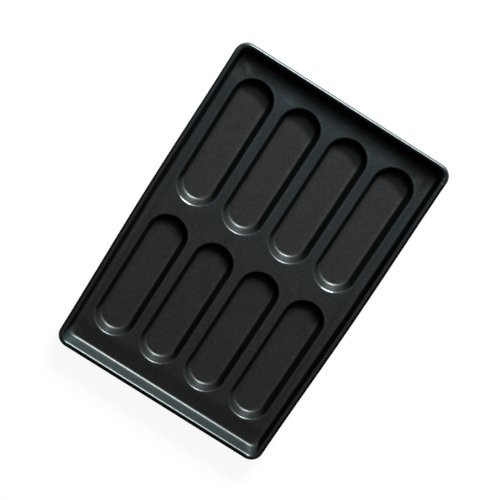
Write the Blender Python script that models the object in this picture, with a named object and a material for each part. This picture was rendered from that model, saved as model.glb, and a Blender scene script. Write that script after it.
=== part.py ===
"""Finger roll baking tray: one pressed steel sheet with eight drawn cavities, its rim rolled round a wire."""
import math

import bmesh
import bpy

# The tray seen from above, in metres: its length lies along X, its width along Y
TRAY_LENGTH = 0.600            # over the rolled rim
TRAY_WIDTH = 0.400             # over the rolled rim, at the middle of the long sides
SIDE_BOW = 0.0024              # how far a long side springs outward between its corners
RIM_CORNER_RADIUS = 0.0215     # outside of the rolled rim
FLOOR_CORNER_RADIUS = 0.0170   # where the floor turns up into the walls

# The sheet, the wire in its rim and the roll of sheet round that wire
SHEET = 0.0012
WIRE_DIAMETER = 0.0065
WIRE_CLEARANCE = 0.0003
WIRE_END_GAP = 0.0008          # between the two ends of the wire
WIRE_JOINT_REACH = 0.0620      # from the corner at +X +Y, along the short side, to where those ends meet
ROLL_SWEEP = math.radians(285)

# The walls that stand round the floor
RIM_HEIGHT = 0.0285            # from the floor to the top of the rim
WALL_DRAFT = math.radians(10)  # outward lean of the walls
WALL_FILLET = 0.0052           # inside radius between floor and wall

# The cavities that shape the rolls fill the floor, apart from the level strips left around them
ROWS = 2
CAVITIES_PER_ROW = 4
ROW_GAP = 0.0270               # between the ends of two cavities in line
CAVITY_GAP = 0.0150            # between two cavities side by side
END_LAND = 0.0284              # from a cavity's end to the foot of the short wall
SIDE_LAND = 0.0134             # from a cavity's side to the foot of the long wall, at its middle
CAVITY_DEPTH = 0.0205
CAVITY_DRAFT = math.radians(14)
MOUTH_FILLET = 0.0030
CAVITY_FILLET = 0.0050

# How finely the curves are divided
CORNER_STEPS = 6
SIDE_STEPS = 8
END_STEPS = 12
FILLET_STEPS = 3
ROLL_STEPS_PER_QUARTER = 4
FLAT_MARGIN = 0.0010           # width of the level band that frames every flat area
WIRE_BEVEL_RESOLUTION = 4

# Heights that follow from the sizes above; the tray rests on the undersides of its cavities
FLOOR_Z = SHEET + CAVITY_DEPTH
ROLL_RADIUS = WIRE_DIAMETER / 2 + WIRE_CLEARANCE + SHEET
WIRE_Z = FLOOR_Z + RIM_HEIGHT - ROLL_RADIUS


def clear_scene():
    """Removes whatever objects the file opened with."""
    for old in list(bpy.data.objects):
        bpy.data.objects.remove(old, do_unlink=True)


def make_material(name, colour, roughness, metallic):
    """Returns one Principled finish."""
    finish = bpy.data.materials.new(name)
    finish.use_nodes = True
    shader = finish.node_tree.nodes["Principled BSDF"]
    shader.inputs["Base Color"].default_value = (*colour, 1.0)
    shader.inputs["Roughness"].default_value = roughness
    shader.inputs["Metallic"].default_value = metallic
    return finish


def arc(centre, radius, start, end, steps):
    """Returns points along an arc in a plane, both ends included."""
    angles = [start + (end - start) * step / steps for step in range(steps + 1)]
    return [(centre[0] + radius * math.cos(a), centre[1] + radius * math.sin(a)) for a in angles]


def foot(wall_top, draft, radius, base):
    """Returns the fillet below a leaning wall, from the wall down to the level at height base.

    A section is drawn with its first coordinate running inward and its second upward.
    """
    rise = base + radius - wall_top[1]
    centre_in = wall_top[0] + (radius - rise * math.sin(draft)) / math.cos(draft)
    return arc((centre_in, base + radius), radius, math.pi + draft, 1.5 * math.pi, FILLET_STEPS)


def cavity_section():
    """Returns a cavity's section as (distance in from the mouth, height), from outside to its floor."""
    depth_z = FLOOR_Z - CAVITY_DEPTH
    mouth = arc((0.0, FLOOR_Z - MOUTH_FILLET), MOUTH_FILLET, math.pi / 2, CAVITY_DRAFT, FILLET_STEPS)
    base = foot(mouth[-1], CAVITY_DRAFT, CAVITY_FILLET, depth_z)
    return [(-FLAT_MARGIN, FLOOR_Z), *mouth, *base, (base[-1][0] + FLAT_MARGIN, depth_z)]


def roll_section():
    """Returns the rolled rim's section, from its lip over the top to the wall, through its extreme points."""
    lip = WALL_DRAFT + ROLL_SWEEP
    quarters = [quarter * math.pi / 2 for quarter in (3, 2, 1) if quarter * math.pi / 2 < lip]
    stops = [lip, *quarters, WALL_DRAFT]
    section = []
    for start, end in zip(stops, stops[1:]):
        steps = math.ceil((start - end) / (math.pi / 2) * ROLL_STEPS_PER_QUARTER)
        section += arc((ROLL_RADIUS, WIRE_Z), ROLL_RADIUS, start, end, steps)[:-1]
    return section + [(ROLL_RADIUS * (1 + math.cos(WALL_DRAFT)), WIRE_Z + ROLL_RADIUS * math.sin(WALL_DRAFT))]


def wall_section():
    """Returns the wall's section below the roll, down to the level floor."""
    base = foot(roll_section()[-1], WALL_DRAFT, WALL_FILLET, FLOOR_Z)
    return [*base, (base[-1][0] + FLAT_MARGIN, FLOOR_Z)]


def tray_outline(inset, corner_radius):
    """Returns a loop of (x, y) round the tray at a distance in from the rim, with the long sides bowed."""
    half_x = TRAY_LENGTH / 2 - inset - corner_radius
    half_y = TRAY_WIDTH / 2 - SIDE_BOW - inset - corner_radius
    bow_half = TRAY_LENGTH / 2 - RIM_CORNER_RADIUS
    loop = []
    for quarter, (x_sign, y_sign) in enumerate(((1, 1), (-1, 1), (-1, -1), (1, -1))):
        start = quarter * math.pi / 2
        centre = (x_sign * half_x, y_sign * half_y)
        loop += arc(centre, corner_radius, start, start + math.pi / 2, CORNER_STEPS)
        if quarter % 2 == 0:
            for step in range(1, SIDE_STEPS):
                x = x_sign * half_x * (1 - 2 * step / SIDE_STEPS)
                bow = SIDE_BOW * (1 + math.cos(math.pi * x / bow_half)) / 2
                loop.append((x, y_sign * (half_y + corner_radius + bow)))
    return loop


def cavity_size():
    """Returns a cavity's length and width over the mouth, where its edge leaves the floor."""
    floor_inset = wall_section()[-2][0]
    length = (TRAY_LENGTH - 2 * (floor_inset + END_LAND) - (ROWS - 1) * ROW_GAP) / ROWS
    gaps = (CAVITIES_PER_ROW - 1) * CAVITY_GAP
    return length, (TRAY_WIDTH - 2 * (floor_inset + SIDE_LAND) - gaps) / CAVITIES_PER_ROW


def cavity_outline(centre, inset):
    """Returns a cavity's round-ended loop of (x, y) at a distance in from its mouth."""
    length, width = cavity_size()
    radius = width / 2 - inset
    reach = (length - width) / 2
    right = arc((centre[0] + reach, centre[1]), radius, -math.pi / 2, math.pi / 2, END_STEPS)
    left = arc((centre[0] - reach, centre[1]), radius, math.pi / 2, 1.5 * math.pi, END_STEPS)
    return right + left


def cavity_centres():
    """Yields the middle of each cavity in plan."""
    length, width = cavity_size()
    for row in range(ROWS):
        for column in range(CAVITIES_PER_ROW):
            x = (row - (ROWS - 1) / 2) * (length + ROW_GAP)
            y = (column - (CAVITIES_PER_ROW - 1) / 2) * (width + CAVITY_GAP)
            yield x, y


def closed_pairs(loop):
    """Returns each corner of a closed loop with the one after it."""
    return zip(loop, loop[1:] + loop[:1])


def skin(bm, outlines):
    """Covers the bands between (outline, height) loops given from outside in, and returns the loops."""
    loops = [[bm.verts.new((x, y, height)) for x, y in outline] for outline, height in outlines]
    for outer, inner in zip(loops, loops[1:]):
        for (a, b), (c, d) in zip(closed_pairs(outer), closed_pairs(inner)):
            bm.faces.new((a, b, d, c))
    return loops


def loop_edges(bm, loop):
    """Returns the edges along a loop of corners."""
    return [bm.edges.get(pair) for pair in closed_pairs(loop)]


def add_cavity(bm, centre):
    """Adds one cavity, floor included, and returns the edges where it meets the tray's floor."""
    outlines = [(cavity_outline(centre, inset), height) for inset, height in cavity_section()]
    loops = skin(bm, outlines)
    bm.faces.new(loops[-1])
    return loop_edges(bm, loops[0])


def add_walls(bm):
    """Adds the rolled rim and the walls, and returns the edges where they meet the tray's floor."""
    roll = roll_section()
    wall = wall_section()
    roll_foot = roll[-1][0]
    top_radius = RIM_CORNER_RADIUS - roll_foot
    floor_edge = wall[-2][0]
    outlines = [(tray_outline(inset, RIM_CORNER_RADIUS - inset), height) for inset, height in roll]
    for inset, height in wall:
        blend = (inset - roll_foot) / (floor_edge - roll_foot)
        radius = top_radius + (FLOOR_CORNER_RADIUS - top_radius) * blend
        outlines.append((tray_outline(inset, radius), height))
    return loop_edges(bm, skin(bm, outlines)[-1])


def make_object(name, data, finish):
    """Places a mesh or curve in the scene with its finish."""
    data.materials.append(finish)
    made = bpy.data.objects.new(name, data)
    bpy.context.scene.collection.objects.link(made)
    return made


def make_pan_sheet():
    """Builds the pressed sheet: its upper face first, then its thickness on the far side."""
    bm = bmesh.new()
    borders = add_walls(bm)
    for centre in cavity_centres():
        borders += add_cavity(bm, centre)
    bmesh.ops.triangle_fill(bm, use_beauty=True, edges=borders, normal=(0, 0, 1))
    mesh = bpy.data.meshes.new("pan_sheet")
    bm.to_mesh(mesh)
    bm.free()
    mesh.shade_smooth()
    mesh.set_sharp_from_angle(angle=math.radians(45))
    sheet = make_object("pan_sheet", mesh, make_material("black_non_stick", (0.030, 0.031, 0.032), 0.42, 0.0))
    wall = sheet.modifiers.new("sheet_thickness", "SOLIDIFY")
    wall.thickness = SHEET
    wall.offset = -1.0
    wall.use_even_offset = True
    wall.use_rim = True
    return sheet


def make_rim_wire():
    """Builds the wire inside the rim, one round bar bent to the tray's outline with a butt joint."""
    path = tray_outline(ROLL_RADIUS, RIM_CORNER_RADIUS - ROLL_RADIUS)
    end_x = TRAY_LENGTH / 2 - ROLL_RADIUS
    joint_y = TRAY_WIDTH / 2 - SIDE_BOW - RIM_CORNER_RADIUS - WIRE_JOINT_REACH
    first = (end_x, joint_y + WIRE_END_GAP / 2)
    last = (end_x, joint_y - WIRE_END_GAP / 2)
    curve = bpy.data.curves.new("rim_wire", "CURVE")
    curve.dimensions = "3D"
    curve.twist_mode = "Z_UP"
    curve.bevel_depth = WIRE_DIAMETER / 2
    curve.bevel_resolution = WIRE_BEVEL_RESOLUTION
    curve.use_fill_caps = True
    spline = curve.splines.new("POLY")
    points = [first, *path, last]
    spline.points.add(len(points) - 1)
    for point, (x, y) in zip(spline.points, points):
        point.co = (x, y, WIRE_Z, 1.0)
    spline.use_smooth = True
    return make_object("rim_wire", curve, make_material("bare_steel", (0.45, 0.45, 0.44), 0.40, 1.0))


clear_scene()
make_pan_sheet()
make_rim_wire()
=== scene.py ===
# %% [markdown]
# # A finger roll baking tray
#
# The real tray is one steel sheet. A press draws eight long cavities into it and turns up its walls, a
# second tool rolls the edge of the sheet round a steel wire, and the whole tray then gets a black satin
# non-stick coating. This lesson models the sheet a good deal finer than the plain solids that it starts
# from, gives it that coating, and lights it like a product photograph.
#
# The solids of the tray come in first. They stay where they are, and every new piece takes its size and
# its place from them.

# %% Load the frame
import math

import bmesh
import bpy
from mathutils import Matrix, Vector


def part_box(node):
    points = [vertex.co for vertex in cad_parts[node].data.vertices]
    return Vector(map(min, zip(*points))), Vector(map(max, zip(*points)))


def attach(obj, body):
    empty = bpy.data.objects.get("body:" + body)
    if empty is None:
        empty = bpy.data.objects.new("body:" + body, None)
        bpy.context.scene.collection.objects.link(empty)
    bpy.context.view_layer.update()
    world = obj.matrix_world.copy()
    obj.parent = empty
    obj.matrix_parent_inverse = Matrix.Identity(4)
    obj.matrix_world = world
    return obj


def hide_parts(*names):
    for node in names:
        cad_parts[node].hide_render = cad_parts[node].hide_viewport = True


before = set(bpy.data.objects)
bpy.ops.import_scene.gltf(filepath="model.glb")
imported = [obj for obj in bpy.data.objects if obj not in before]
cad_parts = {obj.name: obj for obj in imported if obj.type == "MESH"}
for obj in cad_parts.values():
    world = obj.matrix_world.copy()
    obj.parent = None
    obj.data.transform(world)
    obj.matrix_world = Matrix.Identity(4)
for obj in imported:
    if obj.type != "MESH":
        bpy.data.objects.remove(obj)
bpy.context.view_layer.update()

# %% [markdown]
# ## The sizes of the tray
#
# Blender works in metres, and a tray is easier to read in millimetres, so a size is written as a number
# times MM. The outline, the height of the rim and the wire are read from the solids. What a solid doesn't
# say by its box, such as a fillet or the lean of a wall, is written down here once, as the tray has it.
#
# The tray's length lies along X and its width along Y. Its near end is the one at +X, its left side the one
# at +Y, and it stands on the undersides of its cavities.

# %% Sizes read from the solids
MM = 0.001
pan_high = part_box("pan_sheet")[1]
wire_low, wire_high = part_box("rim_wire")
half_length = pan_high.x
half_width = pan_high.y
rim_top = pan_high.z
wire_z = (wire_low.z + wire_high.z) / 2
roll_radius = rim_top - wire_z
print(f"tray {2 * half_length / MM:.1f} x {2 * half_width / MM:.1f} x {rim_top / MM:.1f} mm, "
      f"roll {2 * roll_radius / MM:.1f} mm across")

# %% Sizes of the pressing
SHEET = 1.2 * MM
SIDE_BOW = 2.4 * MM               # a long side springs outward by this much between its corners
RIM_CORNER = 21.5 * MM            # radius of the outline's corners, over the rim
FLOOR_CORNER = 17.0 * MM          # and where the floor turns up into the walls
RIM_HEIGHT = 28.5 * MM            # from the floor to the top of the rim
WALL_DRAFT = math.radians(10)     # outward lean of the walls
WALL_FILLET = 5.2 * MM
ROLL_SWEEP = math.radians(285)    # how far round the edge is rolled
ROW_GAP = 27.0 * MM               # between the ends of two cavities in line
CAVITY_GAP = 15.0 * MM            # between two cavities side by side
END_LAND = 28.4 * MM              # from a cavity's end to the foot of the short wall
SIDE_LAND = 13.4 * MM             # from a cavity's side to the foot of the long wall
CAVITY_DEPTH = 20.5 * MM
CAVITY_DRAFT = math.radians(14)
MOUTH_FILLET = 3.0 * MM           # where the floor turns down into a cavity
CAVITY_FILLET = 5.0 * MM          # where a cavity's wall meets its own floor
FLAT_MARGIN = 1.0 * MM            # a level band that frames each flat area, so that its shading stays flat

floor_z = rim_top - RIM_HEIGHT
basin_z = floor_z - CAVITY_DEPTH
print(f"the floor lies at {floor_z / MM:.1f} mm and the floors of the cavities at {basin_z / MM:.1f} mm")

# %% [markdown]
# ## The section of the wall
#
# A section is the line that a saw cut would show. It could be drawn point by point, but a pressing has
# only straight stretches and arcs, so two small functions give it: one for an arc, and one for the fillet
# that turns a leaning wall into a level floor. A point of a section is a distance in from the rim's
# outside and a height.

# %% Arc and fillet, wall and roll
ROLL_STEPS = 30
WALL_FOOT_STEPS = 8


def arc(centre, radius, start, end, steps):
    """Points along an arc, both ends included."""
    angles = [start + (end - start) * step / steps for step in range(steps + 1)]
    return [(centre[0] + radius * math.cos(a), centre[1] + radius * math.sin(a)) for a in angles]


def foot(wall_top, draft, radius, base, steps):
    """The fillet between a leaning wall and the level at height base, from the wall down."""
    rise = base + radius - wall_top[1]
    centre_in = wall_top[0] + (radius - rise * math.sin(draft)) / math.cos(draft)
    return arc((centre_in, base + radius), radius, math.pi + draft, 1.5 * math.pi, steps)


roll = arc((roll_radius, wire_z), roll_radius, WALL_DRAFT, WALL_DRAFT + ROLL_SWEEP, ROLL_STEPS)
wall_foot = foot(roll[0], WALL_DRAFT, WALL_FILLET, floor_z, WALL_FOOT_STEPS)[::-1]
roll_foot = roll[0][0]
floor_edge = wall_foot[0][0]
wall_section = [(floor_edge + FLAT_MARGIN, floor_z), *wall_foot, *roll]
print(f"the wall meets the floor {floor_edge / MM:.1f} mm in from the rim")

# %% [markdown]
# ## Walls and rim
#
# The walls could be a path extrusion, but the corner of a pressed tray is rounder at the floor than at
# the top of the wall, and a path gives the same turn all the way up. So the floor's outline starts as a
# rectangle whose corners are bevelled round. Its ring of edges is extruded once for each point of the
# section. Each time, every corner is scaled about its own centre and moved out, which is just what the
# press does. The long straight edges are cut into short ones at the end, because the sides are bowed.

# %% How the outline turns its corners
QUARTERS = ((1, 1), (-1, 1), (-1, -1), (1, -1))      # the signs of x and y at each corner


def corner_radius(inset):
    """The outline's corner radius at a distance in from the rim: concentric in the roll, rounder below."""
    if inset <= roll_foot:
        return RIM_CORNER - inset
    blend = (inset - roll_foot) / (floor_edge - roll_foot)
    return (RIM_CORNER - roll_foot) * (1 - blend) + FLOOR_CORNER * blend


def corner_centre(inset, height, quarter):
    """The centre that a corner of the outline turns about."""
    reach = inset + corner_radius(inset)
    x = quarter[0] * (half_length - reach)
    y = quarter[1] * (half_width - SIDE_BOW - reach)
    return Vector((x, y, height))


print(f"corner radius at the top of the wall: {corner_radius(roll_foot) / MM:.1f} mm")

# %% Extrude the walls
CORNER_STEPS = 14


def edges_in(geometry):
    """The edges among what an operator gave back."""
    return [part for part in geometry if isinstance(part, bmesh.types.BMEdge)]


def points_in(geometry):
    """The points among what an operator gave back."""
    return [part for part in geometry if isinstance(part, bmesh.types.BMVert)]


def extrude_walls(bm, section):
    """Raises the walls and the roll from a bevelled rectangle, one ring of faces for each section point."""
    inset, height = section[0]
    plan = Matrix.Diagonal((half_length - inset, half_width - SIDE_BOW - inset, 1.0, 1.0))
    start = bmesh.ops.create_grid(bm, x_segments=1, y_segments=1, size=1.0,
                                  matrix=Matrix.Translation((0, 0, height)) @ plan)
    bmesh.ops.bevel(bm, geom=start["verts"], affect="VERTICES", offset=corner_radius(inset),
                    offset_type="OFFSET", segments=CORNER_STEPS, profile=0.5, material=-1)
    ring = list(bm.edges)
    bmesh.ops.delete(bm, geom=list(bm.faces), context="FACES_ONLY")
    for (inset, height), (next_inset, next_height) in zip(section, section[1:]):
        made = bmesh.ops.extrude_edge_only(bm, edges=ring)["geom"]
        ring = edges_in(made)
        verts = points_in(made)
        growth = corner_radius(next_inset) / corner_radius(inset)
        for quarter in QUARTERS:
            corner = [v for v in verts if v.co.x * quarter[0] > 0 and v.co.y * quarter[1] > 0]
            centre = corner_centre(inset, height, quarter)
            move = corner_centre(next_inset, next_height, quarter) - centre
            bmesh.ops.scale(bm, vec=(growth, growth, 1), space=Matrix.Translation(-centre), verts=corner)
            bmesh.ops.translate(bm, vec=move, verts=corner)


pan = bmesh.new()
extrude_walls(pan, wall_section)
print("walls and rim:", len(pan.faces), "faces")

# %% Cut the long edges
SIDE_CELL = 8 * MM
LONG_SHARE = 0.9                  # an edge counts as long from this share of the longest one on


def edge_reach(edge, axis):
    """How far an edge reaches along X, axis 0, or Y, axis 1."""
    return abs(edge.verts[0].co[axis] - edge.verts[1].co[axis])


def cut_long_edges(bm, cell):
    """Cuts the edges that run the length of a straight side into pieces about one cell long."""
    for axis in (0, 1):
        span = max(edge_reach(edge, axis) for edge in bm.edges)
        long_edges = [edge for edge in bm.edges if edge_reach(edge, axis) > LONG_SHARE * span]
        bmesh.ops.subdivide_edges(bm, edges=long_edges, cuts=round(span / cell), use_grid_fill=True)


cut_long_edges(pan, SIDE_CELL)
print("with the sides cut:", len(pan.faces), "faces")

# %% [markdown]
# ## The cavities
#
# A cavity is a trough with round ends, pressed so that a roll of dough takes its shape. A plain block with
# its edges bevelled would leave the fillets uneven at the round ends. So the section is drawn once, turned
# half round at one end with a spin, pulled along the trough with an extrusion, turned half round again and
# pulled back. Every fillet then keeps its radius all the way.

# %% The size of a cavity
ROWS = 2
COLUMNS = 4

cavity_length = (2 * (half_length - floor_edge - END_LAND) - (ROWS - 1) * ROW_GAP) / ROWS
cavity_width = (2 * (half_width - floor_edge - SIDE_LAND) - (COLUMNS - 1) * CAVITY_GAP) / COLUMNS
row_pitch = cavity_length + ROW_GAP
column_pitch = cavity_width + CAVITY_GAP
mouth_radius = cavity_width / 2
cavity_reach = (cavity_length - cavity_width) / 2
row_middles = [(row - (ROWS - 1) / 2) * row_pitch for row in range(ROWS)]
column_middles = [(column - (COLUMNS - 1) / 2) * column_pitch for column in range(COLUMNS)]
centres = [(x, y) for x in row_middles for y in column_middles]
print(f"cavity {cavity_length / MM:.1f} x {cavity_width / MM:.1f} mm")

# %% Spin and draw one cavity
MOUTH_STEPS = 7
CAVITY_FOOT_STEPS = 8
END_STEPS = 28
DRAW_STEPS = 20
TOUCH = 0.02 * MM                 # what lies closer than this counts as one place


def cavity_line(bm):
    """Draws the section of a cavity below the -Y side of its +X end, and returns its edges."""
    mouth = arc((0.0, floor_z - MOUTH_FILLET), MOUTH_FILLET, math.pi / 2, CAVITY_DRAFT, MOUTH_STEPS)
    base = foot(mouth[-1], CAVITY_DRAFT, CAVITY_FILLET, basin_z, CAVITY_FOOT_STEPS)
    section = [(-FLAT_MARGIN, floor_z), *mouth, *base, (base[-1][0] + FLAT_MARGIN, basin_z)]
    verts = [bm.verts.new((cavity_reach, inset - mouth_radius, height)) for inset, height in section]
    return [bm.edges.new(pair) for pair in zip(verts, verts[1:])]


def draw_cavity(bm):
    """Turns and draws a cavity's section all the way round, with the cavity's middle at the origin."""
    line = cavity_line(bm)
    for end in (1, -1):
        turn = bmesh.ops.spin(bm, geom=line, cent=(end * cavity_reach, 0, 0), axis=(0, 0, 1), angle=math.pi,
                              steps=END_STEPS, use_merge=False)
        line = edges_in(turn["geom_last"])
        for step in range(DRAW_STEPS):
            pulled = bmesh.ops.extrude_edge_only(bm, edges=line)["geom"]
            line = edges_in(pulled)
            bmesh.ops.translate(bm, vec=(-end * 2 * cavity_reach / DRAW_STEPS, 0, 0), verts=points_in(pulled))


cavity = bmesh.new()
draw_cavity(cavity)
bmesh.ops.remove_doubles(cavity, verts=cavity.verts, dist=TOUCH)
print("one cavity:", len(cavity.faces), "faces")

# %% Repeat it over the tray
cavity_mesh = bpy.data.meshes.new("cavity")
cavity.to_mesh(cavity_mesh)
cavity.free()
for x, y in centres:
    pan.verts.ensure_lookup_table()
    before = len(pan.verts)
    pan.from_mesh(cavity_mesh)
    pan.verts.ensure_lookup_table()
    bmesh.ops.translate(pan, vec=(x, y, 0), verts=pan.verts[before:])
bpy.data.meshes.remove(cavity_mesh)
print("with the cavities:", len(pan.faces), "faces")

# %% [markdown]
# ## The floor between them
#
# What is left is the level sheet round the cavities. One big face would do for a flat floor, but a real
# pressing is never quite flat, and the soft dents that come later need points to move. So a grid of
# small squares is laid over the whole floor, the squares that touch a cavity or a wall are taken away,
# and the narrow ragged band that is left along each outline is filled with triangles.

# %% Distances from the outlines
def past_mouth(x, y):
    """The distance from the nearest cavity's mouth, positive on the floor around it."""
    return min(math.hypot(max(abs(x - cx) - cavity_reach, 0.0), y - cy) - mouth_radius for cx, cy in centres)


def short_of_wall(x, y):
    """The distance from the foot of the walls, positive on the floor."""
    radius = corner_radius(floor_edge)
    over_x = abs(x) - (half_length - floor_edge - radius)
    over_y = abs(y) - (half_width - SIDE_BOW - floor_edge - radius)
    return radius - math.hypot(max(over_x, 0.0), max(over_y, 0.0)) - min(max(over_x, over_y), 0.0)


print(f"from the tray's middle to the nearest mouth: {past_mouth(0, 0) / MM:.1f} mm, "
      f"to the nearest wall: {short_of_wall(0, 0) / MM:.1f} mm")

# %% Lay the grid and fill the bands
FLOOR_CELL = 3 * MM
CLEAR = FLAT_MARGIN + FLOOR_CELL / 2      # the squares keep this far from every outline


def lay_floor(bm):
    """Adds the squares of the floor that lie clear of every outline."""
    plan = Matrix.Diagonal((half_length, half_width, 1.0, 1.0))
    grid = bmesh.ops.create_grid(bm, x_segments=round(2 * half_length / FLOOR_CELL),
                                 y_segments=round(2 * half_width / FLOOR_CELL), size=1.0,
                                 matrix=Matrix.Translation((0, 0, floor_z)) @ plan)
    near = [vert for vert in grid["verts"]
            if min(past_mouth(vert.co.x, vert.co.y), short_of_wall(vert.co.x, vert.co.y)) < CLEAR]
    bmesh.ops.delete(bm, geom=near, context="VERTS")


def open_edges(bm, height):
    """The open edges of the sheet that lie at one height."""
    return [edge for edge in bm.edges
            if edge.is_boundary and all(abs(vert.co.z - height) < TOUCH for vert in edge.verts)]


lay_floor(pan)
for level_z in (floor_z, basin_z):
    bmesh.ops.triangle_fill(pan, use_beauty=True, edges=open_edges(pan, level_z), normal=(0, 0, 1))
bmesh.ops.recalc_face_normals(pan, faces=pan.faces)
if max(pan.faces, key=lambda face: face.calc_area()).normal.z < 0:
    bmesh.ops.reverse_faces(pan, faces=pan.faces)
open_now = sum(edge.is_boundary for edge in pan.edges)
print("sheet:", len(pan.faces), "faces,", open_now, "open edges, all at the lip of the roll")

# %% [markdown]
# ## What the press leaves
#
# When the press lets go, the sheet springs back a little. The long sides stand outward between their
# corners. Their foot stands out more evenly than the rim, and swells where the two rows leave it room. The
# level strips carry soft hills, and a crease or two near the corners. A displacement in the material would
# fake this, but a true move of the points also bends the highlights along the fillets, which is how the eye
# reads thin sheet. Two small functions are enough: a soft slope and a soft hill.

# %% Soft slopes and hills
def slope(value, low, high):
    """Rises softly from 0 at low to 1 at high."""
    part = min(max((value - low) / (high - low), 0.0), 1.0)
    return part * part * (3 - 2 * part)


def hill(distance, reach):
    """A soft hill, 1 at its middle and 0 from its reach on."""
    return 1 - slope(abs(distance), 0.0, reach)


def side_bow(x):
    """How far the long sides stand out at x."""
    return SIDE_BOW * (1 + math.cos(math.pi * min(abs(x) / (half_length - RIM_CORNER), 1.0))) / 2


print("a hill at its middle, halfway and at its end:", [hill(part, 1.0) for part in (0.0, 0.5, 1.0)])

# %% Spring the long sides outward
FOOT_OUT_MIDDLE = 0.5 * MM        # how much further out than the rim the foot stands, halfway along
FOOT_OUT_ENDS = 1.8 * MM          # and at the ends
FOOT_SWELL = 1.0 * MM             # on top of that where the two rows meet
FOOT_SWELL_REACH = 40 * MM
FOOT_TOP = floor_z + 3 * MM       # the foot stands out in full up to here
WALL_TRUE = wire_z - 5 * MM       # and from here on the wall follows the rim

last_mouth = max(column_middles) + mouth_radius + FLAT_MARGIN
long_foot = half_width - SIDE_BOW - floor_edge

for vert in pan.verts:
    share = min(max((abs(vert.co.y) - last_mouth) / (long_foot - last_mouth), 0.0), 1.0)
    bow = side_bow(vert.co.x)
    foot_out = FOOT_OUT_ENDS + (FOOT_OUT_MIDDLE - FOOT_OUT_ENDS) * bow / SIDE_BOW
    foot_out += FOOT_SWELL * hill(vert.co.x, FOOT_SWELL_REACH)
    low_down = 1 - slope(vert.co.z, FOOT_TOP, WALL_TRUE)
    vert.co.y += math.copysign(share * (bow + foot_out * low_down), vert.co.y)
print(f"widest at the middle: {2 * max(vert.co.y for vert in pan.verts) / MM:.1f} mm")

# %% Lift soft hills and creases in the level strips
# Each hill has the x and y of its middle, its reach and its height, in mm
HILLS = (
    (252, 78, 17, 0.45), (254, -22, 17, 0.45), (258, 160, 15, 0.35), (252, -112, 16, 0.30),
    (0, 88, 22, -0.25), (0, -6, 24, -0.20), (2, -88, 22, -0.25),
    (-262, 44, 26, 0.20), (-262, -60, 26, 0.20),
)
# Each crease has its two ends, its reach and its height, in mm
CREASES = (
    ((262, 174), (249, 156), 6.5, 0.40),
    ((256, -160), (246, -168), 6.5, 0.40),
    ((249, -158), (240, -166), 6.0, -0.30),
)


def off_line(x, y, start, end):
    """The distance from a point to the line between two others."""
    run = Vector(end) - Vector(start)
    along = min(max((Vector((x, y)) - Vector(start)).dot(run) / run.length_squared, 0.0), 1.0)
    return (Vector((x, y)) - Vector(start) - along * run).length


level = [vert for vert in pan.verts if floor_z - MOUTH_FILLET < vert.co.z < floor_z + WALL_FILLET]
for vert in level:
    x, y = vert.co.x / MM, vert.co.y / MM
    lift = sum(height * hill(math.hypot(x - cx, y - cy), reach) for cx, cy, reach, height in HILLS)
    lift += sum(height * hill(off_line(x, y, start, end), reach) for start, end, reach, height in CREASES)
    out_of_mouth = slope(vert.co.z, floor_z - MOUTH_FILLET, floor_z)
    below_wall = 1 - slope(vert.co.z, floor_z, floor_z + WALL_FILLET)
    vert.co.z += lift * MM * out_of_mouth * below_wall
print("soft moves on", len(level), "points of the level strips")

# %% [markdown]
# ## The nick where the wire's ends meet
#
# The wire in the rim is one bar bent round, and its two ends meet in a short side. The rolled sheet dips
# a little over that joint. The rim's long faces are cut across with a few planes, so that there are points
# to move, and those points sink towards the middle of the roll.

# %% Cut and sink the rim over the joint
JOINT_REACH = 62.0 * MM           # from the corner along the short side to the joint
NICK_DEPTH = 0.35 * MM
NICK_REACH = 1.9 * MM
NICK_CUTS = (-1.9, -1.2, -0.6, 0.0, 0.6, 1.2, 1.9)        # where the planes lie, in mm from the joint
ROLL_MARGIN = 1.01                # a point within this many radii of the roll's middle lies on the roll

joint_y = half_width - SIDE_BOW - RIM_CORNER - JOINT_REACH
roll_x = half_length - roll_radius
rim_from_x = half_length - 2.2 * roll_radius
rim_from_z = floor_z + 2 * WALL_FILLET
for offset in NICK_CUTS:
    near_rim = [face for face in pan.faces if min(vert.co.x for vert in face.verts) > rim_from_x
                and min(vert.co.z for vert in face.verts) > rim_from_z]
    parts = {part for face in near_rim for part in (face, *face.edges, *face.verts)}
    bmesh.ops.bisect_plane(pan, geom=list(parts), plane_co=(0, joint_y + offset * MM, 0), plane_no=(0, 1, 0))
nick = [vert for vert in pan.verts if abs(vert.co.y - joint_y) < NICK_REACH
        and math.hypot(vert.co.x - roll_x, vert.co.z - wire_z) < ROLL_MARGIN * roll_radius]
for vert in nick:
    outward = Vector((vert.co.x - roll_x, 0, vert.co.z - wire_z)).normalized()
    vert.co -= outward * NICK_DEPTH * hill(vert.co.y - joint_y, NICK_REACH)
print("the nick has", len(nick), "points")

# %% [markdown]
# ## From a surface to a sheet
#
# The mesh so far is only the upper face of the sheet. A Solidify modifier gives it the thickness of the
# steel on its far side, so that the underside shows the cavities too, standing out as they do on the real
# tray. The open edge at the lip of the roll is marked sharp, because the sheet is cut square there.

# %% Make the sheet and give it its thickness
def to_object(bm, name):
    """Turns a bmesh into an object of the scene that sits at the origin, with its place in its mesh."""
    mesh = bpy.data.meshes.new(name)
    bm.to_mesh(mesh)
    bm.free()
    made = bpy.data.objects.new(name, mesh)
    bpy.context.scene.collection.objects.link(made)
    return made


for face in pan.faces:
    face.smooth = True
for edge in pan.edges:
    edge.smooth = not edge.is_boundary
sheet = to_object(pan, "pressed_sheet")
thickness = sheet.modifiers.new("steel_thickness", "SOLIDIFY")
thickness.thickness = SHEET
thickness.offset = -1.0
thickness.use_even_offset = True
thickness.use_quality_normals = True

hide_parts("pan_sheet")
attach(sheet, "root")
print("sheet mesh:", len(sheet.data.vertices), "points before its thickness")

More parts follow.
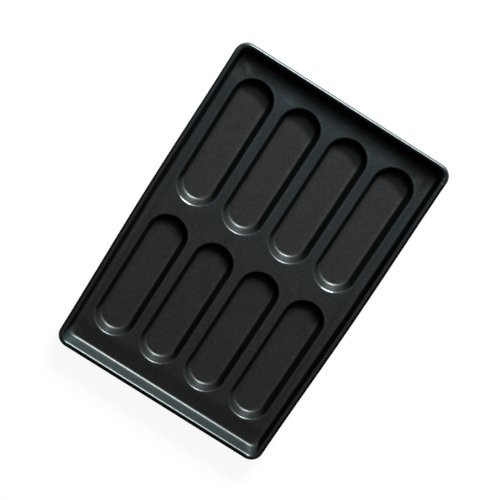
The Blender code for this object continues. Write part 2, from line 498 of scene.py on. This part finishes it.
# %% [markdown]
# ## The wire in the rim
#
# The wire is drawn steel bar, bent cold at the four corners and cut square. It shows only from below,
# through the slit that the roll leaves open. It could be a curve with a round bevel, but drawn as a
# circle that is pulled along each side and spun round each corner, it follows the same arcs as the roll.

# %% Pull and bend the wire
WIRE_SIDES = 24
WIRE_END_GAP = 0.8 * MM
WIRE_CELL = 12 * MM
WIRE_BEND_STEPS = 12

wire_radius = (wire_high.z - wire_low.z) / 2
bend_x = half_length - RIM_CORNER
bend_y = half_width - SIDE_BOW - RIM_CORNER
first_y = joint_y + WIRE_END_GAP / 2
last_y = joint_y - WIRE_END_GAP / 2


def pull(bm, ring, run):
    """Pulls a ring of edges along a straight run, in steps of about one cell, and returns the new ring."""
    steps = max(round(run.length / WIRE_CELL), 1)
    for step in range(steps):
        made = bmesh.ops.extrude_edge_only(bm, edges=ring)["geom"]
        ring = edges_in(made)
        bmesh.ops.translate(bm, vec=run / steps, verts=points_in(made))
    return ring


bar = bmesh.new()
first_end = Matrix.Translation((roll_x, first_y, wire_z)) @ Matrix.Rotation(math.pi / 2, 4, "X")
bmesh.ops.create_circle(bar, cap_ends=False, segments=WIRE_SIDES, radius=wire_radius, matrix=first_end)
ring = list(bar.edges)
runs = ((0, bend_y - first_y), (-2 * bend_x, 0), (0, -2 * bend_y), (2 * bend_x, 0), (0, bend_y + last_y))
for (run_x, run_y), quarter in zip(runs, (*QUARTERS, None)):
    ring = pull(bar, ring, Vector((run_x, run_y, 0)))
    if quarter:
        turned = bmesh.ops.spin(bar, geom=ring, cent=(quarter[0] * bend_x, quarter[1] * bend_y, wire_z),
                                axis=(0, 0, 1), angle=math.pi / 2, steps=WIRE_BEND_STEPS, use_merge=False)
        ring = edges_in(turned["geom_last"])
print("wire:", len(bar.faces), "faces")

# %% Close the wire's ends and bow its long sides
bmesh.ops.remove_doubles(bar, verts=bar.verts, dist=TOUCH)
bmesh.ops.holes_fill(bar, edges=[edge for edge in bar.edges if edge.is_boundary], sides=WIRE_SIDES)
bmesh.ops.recalc_face_normals(bar, faces=bar.faces)
for vert in bar.verts:
    if abs(vert.co.y) > bend_y:
        vert.co.y += math.copysign(side_bow(vert.co.x), vert.co.y)
for face in bar.faces:
    face.smooth = len(face.verts) == 4
rim_bar = to_object(bar, "rim_bar")
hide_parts("rim_wire")
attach(rim_bar, "root")
print("the wire with its two ends:", len(rim_bar.data.polygons), "faces")

# %% [markdown]
# ## Shader maths in plain Python
#
# A finish is worked out by nodes. Written one by one, a simple sum takes several lines, so two small
# classes help. A Value stands for what a node puts out and knows the usual signs, so that a sum of Values
# adds its own Math nodes. Nodes wraps a node tree and adds any other node with a single method, and a few
# short ones give the nodes that come back again and again, such as a soft rise or fall.

# %% Values
class Value:
    """What one node puts out, with the signs of ordinary arithmetic."""

    def __init__(self, nodes, socket):
        self.nodes = nodes
        self.socket = socket

    def maths(self, operation, *numbers):
        return self.nodes.node("ShaderNodeMath", {"operation": operation}, dict(enumerate(numbers)))

    def __add__(self, other):
        return self.maths("ADD", self, other)

    def __radd__(self, other):
        return self.maths("ADD", other, self)

    def __sub__(self, other):
        return self.maths("SUBTRACT", self, other)

    def __rsub__(self, other):
        return self.maths("SUBTRACT", other, self)

    def __mul__(self, other):
        return self.maths("MULTIPLY", self, other)

    def __rmul__(self, other):
        return self.maths("MULTIPLY", other, self)

    def __truediv__(self, other):
        return self.maths("DIVIDE", self, other)

    def __abs__(self):
        return self.maths("ABSOLUTE", self)

    def at_least(self, other):
        return self.maths("MAXIMUM", self, other)

    def power(self, exponent):
        return self.maths("POWER", self, exponent)

    def fraction(self):
        return self.maths("FRACT", self)


print("a Value's own words:", [name for name in vars(Value) if not name.startswith("_")])

# %% Nodes
class Nodes:
    """A node tree, with one method that adds any node and short ones for those that come back."""

    def __init__(self, tree):
        self.tree = tree
        self.tree.nodes.clear()

    def node(self, kind, settings, inputs, output=0):
        """Adds a node: its settings first, then the values or links of its sockets."""
        made = self.tree.nodes.new(kind)
        for name, setting in settings.items():
            setattr(made, name, setting)
        for key, given in inputs.items():
            if isinstance(given, Value):
                self.tree.links.new(given.socket, made.inputs[key])
            else:
                made.inputs[key].default_value = given
        return Value(self, made.outputs[output]) if made.outputs else None

    def rise(self, value, low, high):
        """Rises softly from 0 where the value is low to 1 where it is high."""
        return self.node("ShaderNodeMapRange", {"interpolation_type": "SMOOTHSTEP"},
                         {0: value, 1: low, 2: high})

    def fall(self, value, low, high):
        """Falls softly from 1 where the value is low to 0 where it is high."""
        return 1 - self.rise(value, low, high)

    def band(self, value, low, full, fading, gone):
        """1 from full to fading, and softly down to 0 at low on one side and at gone on the other."""
        return self.rise(value, low, full) * self.fall(value, fading, gone)

    def parts(self, vector):
        """The x, y and z of a vector."""
        split = self.node("ShaderNodeSeparateXYZ", {}, {0: vector}).socket.node
        return [Value(self, output) for output in split.outputs]

    def distance(self, place, point):
        """The distance from a place to a point."""
        return self.node("ShaderNodeVectorMath", {"operation": "DISTANCE"}, {0: place, 1: point},
                         output="Value")

    def blend(self, share, first, second):
        """A colour between two others."""
        return self.node("ShaderNodeMix", {"data_type": "RGBA"}, {0: share, 6: first, 7: second}, output=2)

    def noise(self, place, cell, detail=2.0, roughness=0.5, stretch=(1, 1, 1)):
        """Cloudy values round 0.5, with clouds about one cell across."""
        scaled = self.node("ShaderNodeVectorMath", {"operation": "DIVIDE"},
                           {0: place, 1: tuple(cell * part for part in stretch)})
        return self.node("ShaderNodeTexNoise", {}, {"Vector": scaled, "Scale": 1.0, "Detail": detail,
                                                    "Roughness": roughness})

    def ray_is(self, kind):
        """1 for the rays of one kind, such as those that the camera sends out, and 0 for others."""
        return self.node("ShaderNodeLightPath", {}, {}, output=f"Is {kind} Ray")


def colour(red, green, blue):
    """A colour with full cover, as a socket wants it."""
    return (red, green, blue, 1.0)


def grey(share):
    """A grey between black, 0, and white, 1."""
    return colour(share, share, share)


print("white, as a socket wants it:", grey(1.0))

# %% [markdown]
# ## The non-stick coating
#
# The coat is sprayed on a blasted sheet and baked. It is black with a satin sheen, and it isn't the same
# everywhere. On the level strips it lies smooth and a little bluish. On the floors of the cavities, where
# the spray bounces about, it dries coarser, warmer and duller. Pressing stretches the sheet along the
# rows, which leaves faint streaks, and handling wears the edges of the mouths and of the rim down to a
# lighter grey.
#
# All of that depends on where a point lies on the tray, so no image is painted, and the material works from
# the object's own coordinates. The distance from the nearest mouth comes first. The cavities are all alike,
# so folding the coordinates over at their middles leaves a single cavity to measure from.

# %% Where a point lies on the tray
def new_finish(name):
    """A new material and its empty node tree."""
    material = bpy.data.materials.new(name)
    material.use_nodes = True
    return material, Nodes(material.node_tree)


def count_nodes(nodes):
    """Says how far a finish has come."""
    print("nodes so far:", len(nodes.tree.nodes))


coating, coat = new_finish("black_satin_non_stick")
place = coat.node("ShaderNodeTexCoord", {}, {}, output="Object")
place_x, place_y, place_z = coat.parts(place)
facing_x, facing_y, facing_z = coat.parts(coat.node("ShaderNodeNewGeometry", {}, {}, output="Normal"))

row_middle = row_middles[-1]
inner_column = column_middles[-2]
past_reach = (abs(abs(place_x) - row_middle) - cavity_reach).at_least(0.0)
past_middle = abs(abs(abs(place_y) - 2 * inner_column) - inner_column)
from_mouth = (past_reach * past_reach + past_middle * past_middle).power(0.5) - mouth_radius
count_nodes(coat)

# %% [markdown]
# ## The parts of the tray
#
# A mask is a number from 0 to 1 that says how much a point belongs to a part, such as the rim or the far
# end. Painted weights on the mesh could say it too, but they would need a row of points wherever the finish
# changes. Here each mask rises or falls softly between two heights or two places, so that no change in the
# coat ends in a hard line. Places are counted from the middle of the tray.

# %% Heights and slopes
deep = coat.fall(place_z, basin_z + 1.5 * MM, basin_z + 9 * MM)
cavity_foot = coat.fall(place_z, basin_z + 2.5 * MM, basin_z + 5 * MM)
level_strip = coat.rise(from_mouth, -0.5 * MM, 2 * MM)
level_strip = level_strip * coat.fall(place_z, floor_z + 1 * MM, floor_z + 4 * MM)
wall_zone = coat.band(place_z, floor_z + 2 * MM, floor_z + 6 * MM, wire_z - 2 * MM, wire_z)
rim_zone = coat.rise(place_z, wire_z - 1 * MM, wire_z + 2 * MM)
steep = coat.fall(facing_z, 0.30, 0.75)
count_nodes(coat)

# %% Ends, sides and corners
near_end = coat.rise(place_x, -60 * MM, 190 * MM)
far_end = 1 - near_end
left_side = coat.rise(place_y, -100 * MM, 100 * MM)
near_land = coat.rise(place_x, 212 * MM, 247 * MM)
near_corner = coat.rise(abs(place_y), 118 * MM, 148 * MM)
far_land = coat.fall(place_x, -262 * MM, -244 * MM)
far_foot = coat.fall(place_x, -268 * MM, -262 * MM) * coat.fall(place_z, floor_z + 0.8 * MM, floor_z + 2 * MM)
side_strip = coat.rise(abs(place_y), 164 * MM, 174 * MM)
foot_line = coat.rise(abs(place_y), 174 * MM, 180 * MM) * (1 - near_end * left_side)
corner = coat.rise(abs(place_x), 268 * MM, 284 * MM) * coat.rise(abs(place_y), 168 * MM, 182 * MM)
end_rim = rim_zone * coat.rise(abs(place_x), 283 * MM, 293 * MM)
far_rim = end_rim * far_end
side_rim = rim_zone * coat.fall(abs(place_x), 270 * MM, 285 * MM)
right_rim = rim_zone * coat.fall(place_y, -190 * MM, -170 * MM)
left_rim = rim_zone * coat.rise(place_y, 170 * MM, 190 * MM) * far_end
count_nodes(coat)

# %% Bands along the cavities' edges
mouth_edge = coat.band(from_mouth, -2.8 * MM, -1.8 * MM, -0.8 * MM, 0.2 * MM)
edge_band = coat.band(from_mouth, -1.5 * MM, 0.5 * MM, 1.5 * MM, 4 * MM)
foot_band = coat.band(0 - from_mouth, 8 * MM, 10.5 * MM, 11.5 * MM, 18 * MM) * deep
from_column = (place_y / column_pitch).fraction() * column_pitch - column_pitch / 2
from_end = ((place_x + row_middle + cavity_length / 2) / row_pitch).fraction() * row_pitch - cavity_length
right_half = coat.fall(from_column, -20 * MM, -4 * MM)
to_right = (0 - from_column).at_least(0.0)
count_nodes(coat)

# %% [markdown]
# ## Faces that are turned away from the lamps
#
# The lamps stand past the near end, and the real coat is bright only on fillets and walls that look that
# way. Those that look sideways or back are nearly black. A shader's own gloss spreads too widely to give
# that, so a mask finds such faces from the normal, and further on their colour and sheen are darkened there
# and a dull black is mixed in: painted shade, set by which way a face looks. The limits differ a little
# between the walls and the rolled rim, which catches more of the room.

# %% Turned away, or head on
left_walls = coat.rise(0 - facing_y, -0.02, 0.10) * (1 - rim_zone)
right_wall = coat.rise(facing_y, -0.02, 0.10) * (1 - rim_zone) * coat.fall(place_y, -182 * MM, -176 * MM)
towards_lamp = facing_x.at_least(0.0)
lean = abs(facing_y - 0.42 * right_rim + 0.20 * left_rim) - 0.9 * towards_lamp
lean_low = 0.04 + 0.24 * rim_zone + 0.12 * (left_walls + right_wall)
lean_high = 0.50 + 0.30 * rim_zone + 0.24 * (left_walls + right_wall)
lean_high = lean_high + 0.45 * coat.rise(towards_lamp, 0.02, 0.30)
sideways = coat.rise(lean, lean_low, lean_high)
backwards = coat.rise(0 - facing_x, 0.07, 0.42)
off_end_rim = end_rim * coat.fall(facing_x - 0.14 * far_rim, 0.36, 0.68)
turned_off = sideways.at_least(backwards).at_least(off_end_rim)
# less of the painted shade on the left walls and in the corners
turned_off = turned_off * (1 - 0.14 * left_walls) * (1 - 0.45 * corner)
head_on = steep * coat.rise(facing_x, 0.86, 0.96)
count_nodes(coat)

# %% [markdown]
# ## Shade at the cavities' ends and below the rim
#
# Each cavity's near end lies in the shade of its own wall, and the near strip in that of the rim. The lamps
# throw such shade by themselves, but they are wide, which leaves it paler than on the real tray. More or
# smaller lamps would harden every other edge too, so a soft mask deepens it just there.

# %% How much the shade takes away
shade_edge = from_end + 0.25 * to_right + near_end * (2.5 * MM + 0.15 * to_right)
end_shade = deep * coat.rise(shade_edge, -38 * MM, -26 * MM)
end_shade = end_shade * (0.85 * near_end + 0.5 * far_end * coat.rise(to_right, 0.0, 14 * MM))
rim_shade = coat.rise(place_x, 246 * MM, 263 * MM) - 0.9 * coat.rise(place_x, 264 * MM, 270 * MM)
# painted shade in the cavities' near ends and below the near rim, for colour and sheen alike
painted_shade = (1 - 0.45 * level_strip * rim_shade) * (1 - end_shade)
count_nodes(coat)

# %% [markdown]
# ## The coat's colour
#
# Black is never one black. The tones lie near a hundredth of white, warmer at the far end and bluer near
# the lamps. The bluer, lighter tones near the lamps are a painted tint of their light: tinted lamps alone
# would tint every part alike, so the tones are blended from part to part with the masks. Noise at four sizes
# then gives the clouds of the spray, its mottle, its finest grain and the streaks that pressing leaves.

# %% Clouds, mottle, spray and streaks
cloud = coat.noise(place, 38 * MM, detail=3.0)
mottle = coat.noise(place, 2.6 * MM, detail=3.0, roughness=0.62)
spray = coat.noise(place, 0.55 * MM, detail=1.0)
streaks = coat.noise(place, 3.2 * MM, stretch=(14, 1, 1))
count_nodes(coat)

# %% Tones from part to part
# painted tint of the lamps' light: the strips are bluer towards the near end, and the land before it is
# lighter too, grey rather than blue at its corners
strip_tone = coat.blend(near_end, colour(0.0165, 0.0142, 0.0140), colour(0.0112, 0.0140, 0.0172))
near_tone = coat.blend(near_corner, colour(0.0150, 0.0205, 0.0235), colour(0.0185, 0.0190, 0.0180))
strip_tone = coat.blend(near_land, strip_tone, near_tone)
strip_tone = coat.blend(far_land, strip_tone, colour(0.0086, 0.0068, 0.0055))
far_cavity = far_end * coat.fall(from_mouth, 4 * MM, 8 * MM)
wall_tone = coat.blend(far_cavity, colour(0.0110, 0.0165, 0.0168), colour(0.0165, 0.0160, 0.0150))
basin_tone = coat.blend(near_end, colour(0.0178, 0.0152, 0.0130), colour(0.0170, 0.0155, 0.0148))
rim_tone = coat.blend(left_side, colour(0.0085, 0.0090, 0.0115), colour(0.0070, 0.0100, 0.0125))
rim_tone = coat.blend(near_end, colour(0.0125, 0.0110, 0.0112), rim_tone)
# a painted highlight: a warm light tone on the feet of the cavities and of the far wall, where they face the
# lamps
painted_foot_highlight = (cavity_foot + 0.5 * far_foot) * coat.rise(facing_x - 0.9 * abs(facing_y), 0.05, 0.30)
painted_foot_highlight = painted_foot_highlight * coat.fall(facing_x, 0.55, 0.85)

tone = coat.blend(level_strip, wall_tone, strip_tone)
tone = coat.blend(deep * (1 - steep), tone, basin_tone)
tone = coat.blend(painted_foot_highlight, tone, colour(0.058, 0.043, 0.033))
tone = coat.blend(rim_zone, tone, rim_tone)
count_nodes(coat)

# %% How light each part is, with painted light and shade
shade = 0.89 + 0.22 * cloud + 2.5 * (mottle - 0.5) * (1 - steep) + 0.35 * (streaks - 0.5) * (1 - deep)
# the side strips darker, and lighter along the foot of the long walls, a painted highlight
shade = shade * (1 + (0.40 * foot_line - 0.28 * side_strip) * level_strip)
# painted shade on the faces turned from the lamps, in the cavities' near ends and below the rim
shade = shade * (1 - 0.75 * turned_off) * painted_shade
# painted light: on each cavity's right side the foot and the edge of the mouth are lighter, and on its left
# side the foot is darker
painted_highlight_bands = 0.85 * foot_band + 0.55 * edge_band * level_strip
shade = shade * (1 + painted_highlight_bands * right_half * (0.5 + 0.5 * near_end))
shade = shade * (1 - 0.30 * foot_band * (1 - right_half))
# painted light on the walls of the far corners
shade = shade * (1 + 0.8 * corner * far_end * (1 - rim_zone))
count_nodes(coat)

# %% [markdown]
# ## Rubbed spots and scratches, painted highlights and painted shade
#
# Where a hand, a rack or the press has rubbed a level strip, the coat is lighter or darker. Other spots and
# streaks here are painted light and shade: painted highlights on the soft hills before the near end and along
# the creases at the near corners, painted shade beside a crease and on the land at the near right corner, and
# a painted highlight where the foot of the far wall turns its corners. Noise could scatter such marks, but
# these have their places, so they are listed one by one: a round spot by its middle and reach, a scratch by
# its two ends and its width. Each one multiplies the coat's colour and its sheen, by more than 1 where it
# lightens them and by less where it darkens them.

# %% Spots and scratches on the level strips
# Each spot has its x, y and reach in mm, and how much lighter or darker it is
SPOTS = (
    # a painted highlight near the crease at the near left corner
    (239, 173, 10, 0.15),
    # painted highlight and painted shade on the creases at the near right corner
    (252.6, -159.5, 11, 0.8), (250.8, -171.5, 9, -0.5), (257, -163, 6, -0.3),
    # painted highlights on the soft hills before the near end
    (252, 80, 22, 0.22), (254, -21, 20, 0.18), (251, -112, 18, 0.12),
    (0, 43, 16, -0.15), (-8, 43, 12, -0.15),
    # painted shade on the land at the near right corner
    (264, -152, 52, -0.40),
    # painted highlights where the foot of the far wall turns its corners
    (-271, 176, 14, 0.9), (-271, -176, 14, 0.7),
)
# Each scratch has its two ends and its half width in mm, and how much lighter or darker it is
SCRATCHES = (
    # a painted highlight along the crease at the near left
    ((264, 174), (251, 157), 7.0, 1.1),
    ((249, 88), (244, 68), 4.5, 0.45),
    ((-1.5, 45), (-12.6, 44.8), 1.3, -0.8),
    ((-9, 139), (12, 135.5), 1.0, -0.45),
    ((-8, 142.5), (11, 139), 1.0, -0.35),
    ((-8, 135.5), (9, 132.5), 1.0, -0.35),
    ((8, -134.8), (-9, -134.3), 1.1, -0.45),
)
SCRATCH_END = 3.0                 # a scratch fades over this length at each end, in mm


def spot(x, y, height, reach, full=0.0):
    """1 round a point, up to a full share of its reach, then down to 0. Only the height is in metres."""
    away = coat.distance(place, (x * MM, y * MM, height))
    return coat.fall(away, full * reach * MM, reach * MM)


def scratch(start, end, half):
    """1 along the line between two points, down to 0 at its ends and at half its width, all in mm."""
    run_x, run_y = end[0] - start[0], end[1] - start[1]
    length = math.hypot(run_x, run_y)
    from_x, from_y = place_x - start[0] * MM, place_y - start[1] * MM
    along = (from_x * run_x + from_y * run_y) / (length * MM)
    across = abs(from_x * run_y - from_y * run_x) / (length * MM)
    return coat.band(along, 0.0, SCRATCH_END, length - SCRATCH_END, length) * coat.fall(across, 0.0, half)


marks_and_painted_light = 1.0
for x, y, reach, change in SPOTS:
    marks_and_painted_light = (1 + change * spot(x, y, floor_z, reach)) * marks_and_painted_light
for start, end, half, change in SCRATCHES:
    marks_and_painted_light = (1 + change * scratch(start, end, half)) * marks_and_painted_light
tone = coat.node("ShaderNodeVectorMath", {"operation": "SCALE"}, {0: tone, "Scale": shade * marks_and_painted_light})
print("marks:", len(SPOTS), "spots and", len(SCRATCHES), "scratches")

# %% Warm and cool grains
tinge = coat.rise(coat.noise(place, 5 * MM, detail=3.0, roughness=0.6), 0.32, 0.68)
hue = coat.blend(tinge, colour(1.11, 1.04, 0.84), colour(0.89, 0.98, 1.15))
tone = coat.node("ShaderNodeVectorMath", {"operation": "MULTIPLY"}, {0: tone, 1: hue})
count_nodes(coat)

# %% [markdown]
# ## Wear along the edges
#
# A coat wears first where it sticks out: along the mouths of the cavities, and at the corners of the rim,
# which knock against racks. A Pointiness mask would find such edges, but only where the mesh has points. The
# distance from the mouth gives the same line exactly. Fine flecks of noise break it up, and a few places are
# worn down to bare metal.

# %% Worn mouths and rim
# Places worn to the metal have their x and y in mm, and those on the rim their reach as well
WORN_MOUTHS = ((16, 140), (13.7, 132), (13.7, -133), (16, -141))
WORN_MOUTH_REACH = 7.5
WORN_RIM = ((283, -188.5, 2.4), (275, -192.5, 2.0), (-288, -182, 2.2), (-285.5, -186, 1.8))

flecks = coat.noise(place, 1.5 * MM, detail=4.0, roughness=0.7)
patches = coat.noise(place, 22 * MM, detail=1.0)
chipped = coat.rise(flecks, 0.42, 0.60)
worn = coat.rise(mouth_edge * coat.rise(flecks + 0.45 * patches, 0.90, 1.04), 0.0, 1.0)
bare = 0.0
for x, y in WORN_MOUTHS:
    bare = spot(x, y, floor_z, WORN_MOUTH_REACH, full=0.8) * mouth_edge + bare
for x, y, reach in WORN_RIM:
    bare = spot(x, y, rim_top - 1 * MM, reach, full=0.5) * chipped + bare
bare = coat.rise(bare, 0.0, 0.8)
tone = coat.blend(worn, tone, colour(0.10, 0.105, 0.105))
tone = coat.blend(bare, tone, colour(0.34, 0.35, 0.35))
print("worn to the metal at", len(WORN_MOUTHS) + len(WORN_RIM), "places")

# %% [markdown]
# ## The coat's shader
#
# A Principled shader could carry the satin in its own gloss alone. Its coat layer does it better, because a
# broad, clear layer over a duller black gives the deep black with a soft bright edge that the real finish
# has. How much coat there is changes over the tray. Its roughness and its index stay fixed. The grain is a
# bump far too fine to model, a few hundredths of a millimetre high.

# %% Grain
SPRAY_HEIGHT = 0.006 * MM
MOTTLE_HEIGHT = 0.030 * MM
STREAK_HEIGHT = 0.02 * MM

bumps = SPRAY_HEIGHT * spray + MOTTLE_HEIGHT * mottle * (0.15 + 0.85 * deep)
bumps = (bumps + STREAK_HEIGHT * streaks * level_strip) * (1 - 0.95 * steep)
grain = coat.node("ShaderNodeBump", {}, {"Strength": 1.0, "Distance": 1.0, "Height": bumps})
count_nodes(coat)

# %% How much coat
mid_end = coat.rise(facing_x - 2 * abs(facing_y), 0.10, 0.50) * (1 - rim_zone)
mid_end = mid_end * (1 - 1.1 * far_foot) * (1 - mouth_edge * far_end)

sheen = 0.88 - 0.10 * level_strip + (mottle - 0.5) * (1 - steep)
sheen = sheen * (1 - 0.30 * wall_zone) * (1 - 0.96 * turned_off)
sheen = sheen * (1 - 0.40 * steep) * (1 - (0.70 - 0.25 * near_end) * head_on) * painted_shade * marks_and_painted_light
sheen = sheen * (1 + 0.35 * mouth_edge * far_end) * (1 - 0.30 * mid_end)
sheen = sheen * (1 + 0.20 * end_rim + 0.8 * far_rim * coat.rise(facing_x, 0.5, 0.85))
sheen = sheen * (1 - 0.2 * side_rim)
count_nodes(coat)

# %% Put the coating together
matt = 0.60 + 0.04 * deep - 0.03 * level_strip + 0.08 * (cloud - 0.5) - 0.22 * steep
coat_shader = coat.node("ShaderNodeBsdfPrincipled", {}, {
    "Base Color": tone, "Metallic": 0.8 * bare, "Roughness": matt - 0.15 * bare, "Normal": grain,
    "Coat Weight": sheen, "Coat Roughness": 0.37, "Coat IOR": 2.0, "IOR": 1.35})
# painted shade: a dull black mixed in on the faces turned from the lamps, more on the rim and the right wall
painted_shade_black = coat.node("ShaderNodeBsdfDiffuse", {}, {"Color": grey(0.003)})
painted_shade_share = (0.60 + 0.35 * rim_zone + 0.32 * right_wall) * turned_off
finish = coat.node("ShaderNodeMixShader", {}, {0: painted_shade_share, 1: coat_shader, 2: painted_shade_black})
coat.node("ShaderNodeOutputMaterial", {}, {"Surface": finish})
sheet.data.materials.append(coating)
print("coating:", len(coat.tree.nodes), "nodes")

# %% [markdown]
# ## The bare wire
#
# Drawn steel bar has fine lines along its length and a dull, slightly oily grey, with a little brown where
# damp got in before the rim was closed. A map wound round the wire could carry the lines, but its sides are
# nearly straight, so it is enough to stretch noise along X on the long sides and along Y on the short ones.

# %% Drawn steel
LINE_HEIGHT = 0.03 * MM

steel, drawn = new_finish("drawn_steel_wire")
wire_place = drawn.node("ShaderNodeTexCoord", {}, {}, output="Object")
wire_x = drawn.node("ShaderNodeSeparateXYZ", {}, {0: wire_place}, output="X")
along_x = drawn.noise(wire_place, 0.35 * MM, stretch=(60, 1, 1))
along_y = drawn.noise(wire_place, 0.35 * MM, stretch=(1, 60, 1))
short_side = drawn.rise(abs(wire_x), bend_x, bend_x + 4 * MM)
lines = along_x * (1 - short_side) + along_y * short_side
stain = drawn.rise(drawn.noise(wire_place, 14 * MM, detail=4.0, roughness=0.65), 0.52, 0.72)
metal = drawn.blend(lines, colour(0.40, 0.40, 0.39), colour(0.56, 0.56, 0.55))
metal = drawn.blend(0.75 * stain, metal, colour(0.16, 0.10, 0.06))
scored = drawn.node("ShaderNodeBump", {}, {"Strength": 1.0, "Distance": 1.0, "Height": LINE_HEIGHT * lines})
steel_shader = drawn.node("ShaderNodeBsdfPrincipled", {}, {
    "Base Color": metal, "Metallic": 1 - 0.5 * stain, "Roughness": 0.34 + 0.25 * stain + 0.12 * lines,
    "Normal": scored})
drawn.node("ShaderNodeOutputMaterial", {}, {"Surface": steel_shader})
rim_bar.data.materials.append(steel)
print("wire finish:", len(drawn.tree.nodes), "nodes")

# %% [markdown]
# ## A pale floor
#
# The photograph's ground is plain white. A floor lit up to white would need far more light than the black
# tray can take, so the floor's own colour does it: to the camera and in reflections it adds a steady white,
# and keeps enough of its ordinary matt surface for the tray's soft shadow to show.

# %% The floor
FLOOR_REACH = 20.0                # in metres, so that its edge lies out of sight
FLOOR_DROP = 0.2 * MM             # below the tray, so that the two surfaces don't fight

ground = bmesh.new()
bmesh.ops.create_grid(ground, x_segments=1, y_segments=1, size=FLOOR_REACH,
                      matrix=Matrix.Translation((0, 0, -FLOOR_DROP)))
studio_floor = to_object(ground, "studio_floor")
print(f"floor: {2 * FLOOR_REACH:.0f} m across")

# %% White paper
paper, card = new_finish("white_paper")
from_camera = card.ray_is("Camera")
seen = from_camera.at_least(card.ray_is("Glossy")).at_least(card.ray_is("Transmission"))
matt_white = card.node("ShaderNodeBsdfDiffuse", {}, {"Color": card.blend(seen, grey(0.8), grey(0.13))})
glow = card.node("ShaderNodeEmission", {}, {"Color": grey(1.0), "Strength": 0.90 * seen + 0.03 * from_camera})
paper_shader = card.node("ShaderNodeAddShader", {}, {0: matt_white, 1: glow})
card.node("ShaderNodeOutputMaterial", {}, {"Surface": paper_shader})
paper.cycles.emission_sampling = "NONE"
studio_floor.data.materials.append(paper)
print("paper:", len(card.tree.nodes), "nodes")

# %% [markdown]
# ## The room
#
# Black satin shows whatever stands round it. Walls of paper could be built, but they would throw shadows,
# so the world's colour stands in for them. In reflections it is pale near the horizon, like the paper behind
# a product, and dark overhead, so that the level sheet stays black and only the fillets catch the lamps. A
# camera held low would look past the floor, so to the camera the room is as white as the floor.

# %% Horizon and ceiling
world = bpy.data.worlds.new("studio")
bpy.context.scene.world = world
world.use_nodes = True
room = Nodes(world.node_tree)
ray = room.node("ShaderNodeTexCoord", {}, {}, output="Generated")
ray_z = room.node("ShaderNodeSeparateXYZ", {}, {0: ray}, output="Z")
pale = room.fall(ray_z, 0.04, 0.14) * room.ray_is("Glossy").at_least(room.ray_is("Transmission"))
air = room.blend(pale, grey(0.004), grey(0.35))
air = room.blend(room.ray_is("Camera"), air, grey(0.94))
room_shader = room.node("ShaderNodeBackground", {}, {"Color": air, "Strength": 1.0})
room.node("ShaderNodeOutputWorld", {}, {"Surface": room_shader})
world.cycles.sampling_method = "NONE"
print("room:", len(room.tree.nodes), "nodes")

# %% [markdown]
# ## Lamps and camera
#
# Three soft lamps stand beyond the tray's near end. The main one is not very high, a weak one hangs above
# it, and a cool one stands low. Together they draw a bright line along every edge that faces them and leave
# the opposite walls in deep shade, which shows the depth of the cavities. One larger lamp would do nearly
# the same, but then the walls' sheen couldn't be set apart from the level sheet's.
#
# The camera looks steeply down from the near end, from a good way off and with a long lens, turned so that
# the tray lies aslant. Its place was worked out from the corners of the tray in the photograph.

# %% Aim and add the lamps
LAMP_TARGET = Vector((0, 0, 0.04))        # in metres, just above the middle of the tray


def aim(made, place, target, top):
    """Puts a lamp or camera at a place, turned to a target, with top pointing up in its view."""
    back = (place - target).normalized()
    right = top.cross(back).normalized()
    turn = Matrix((right, back.cross(right), back)).transposed()
    made.matrix_world = Matrix.Translation(place) @ turn.to_4x4()


def add_lamp(name, place, width, height, power, tint):
    """A soft lamp with a flat face, turned to the tray. Its place and size are in metres."""
    lamp = bpy.data.lights.new(name, "AREA")
    lamp.shape = "RECTANGLE"
    lamp.size = width
    lamp.size_y = height
    lamp.energy = power
    lamp.color = tint
    made = bpy.data.objects.new(name, lamp)
    bpy.context.scene.collection.objects.link(made)
    aim(made, place, LAMP_TARGET, Vector((0, 0, 1)))


add_lamp("key_lamp", Vector((1.83, 0.10, 1.38)), 0.95, 0.62, 72, (0.86, 0.99, 1.0))
add_lamp("upper_lamp", Vector((1.54, 0.06, 1.73)), 0.60, 0.70, 9, (1.0, 0.99, 0.97))
add_lamp("low_lamp", Vector((2.00, 0.10, 0.50)), 0.95, 0.35, 22, (0.70, 0.98, 1.0))
print("lamps:", [lamp.name for lamp in bpy.data.lights])

# %% Camera
SENSOR = 36.0                     # the sensor and the lens are in mm, as Blender wants them
LENS = 137.0
FAR_CLIP = 100.0                  # this and the places below are in metres
CAMERA_PLACE = Vector((0.9121, 0.1639, 2.9811))
CAMERA_TARGET = Vector((0.0116, 0.0054, 0.0454))
CAMERA_TOP = Vector((0.8504, 0.5262, 0))  # the direction that points up in the picture

lens = bpy.data.cameras.new("camera")
lens.sensor_width = SENSOR
lens.lens = LENS
lens.clip_end = FAR_CLIP
camera = bpy.data.objects.new("camera", lens)
bpy.context.scene.collection.objects.link(camera)
bpy.context.scene.camera = camera
aim(camera, CAMERA_PLACE, CAMERA_TARGET, CAMERA_TOP)
bpy.context.scene.view_settings.view_transform = "Standard"
print(f"the camera stands {(CAMERA_PLACE - CAMERA_TARGET).length:.2f} m from the tray")

# %% [markdown]
# ## Bring the scene up to date
#
# The visual tray has to keep the size of the solids.

# %% Update the scene
bpy.context.view_layer.update()
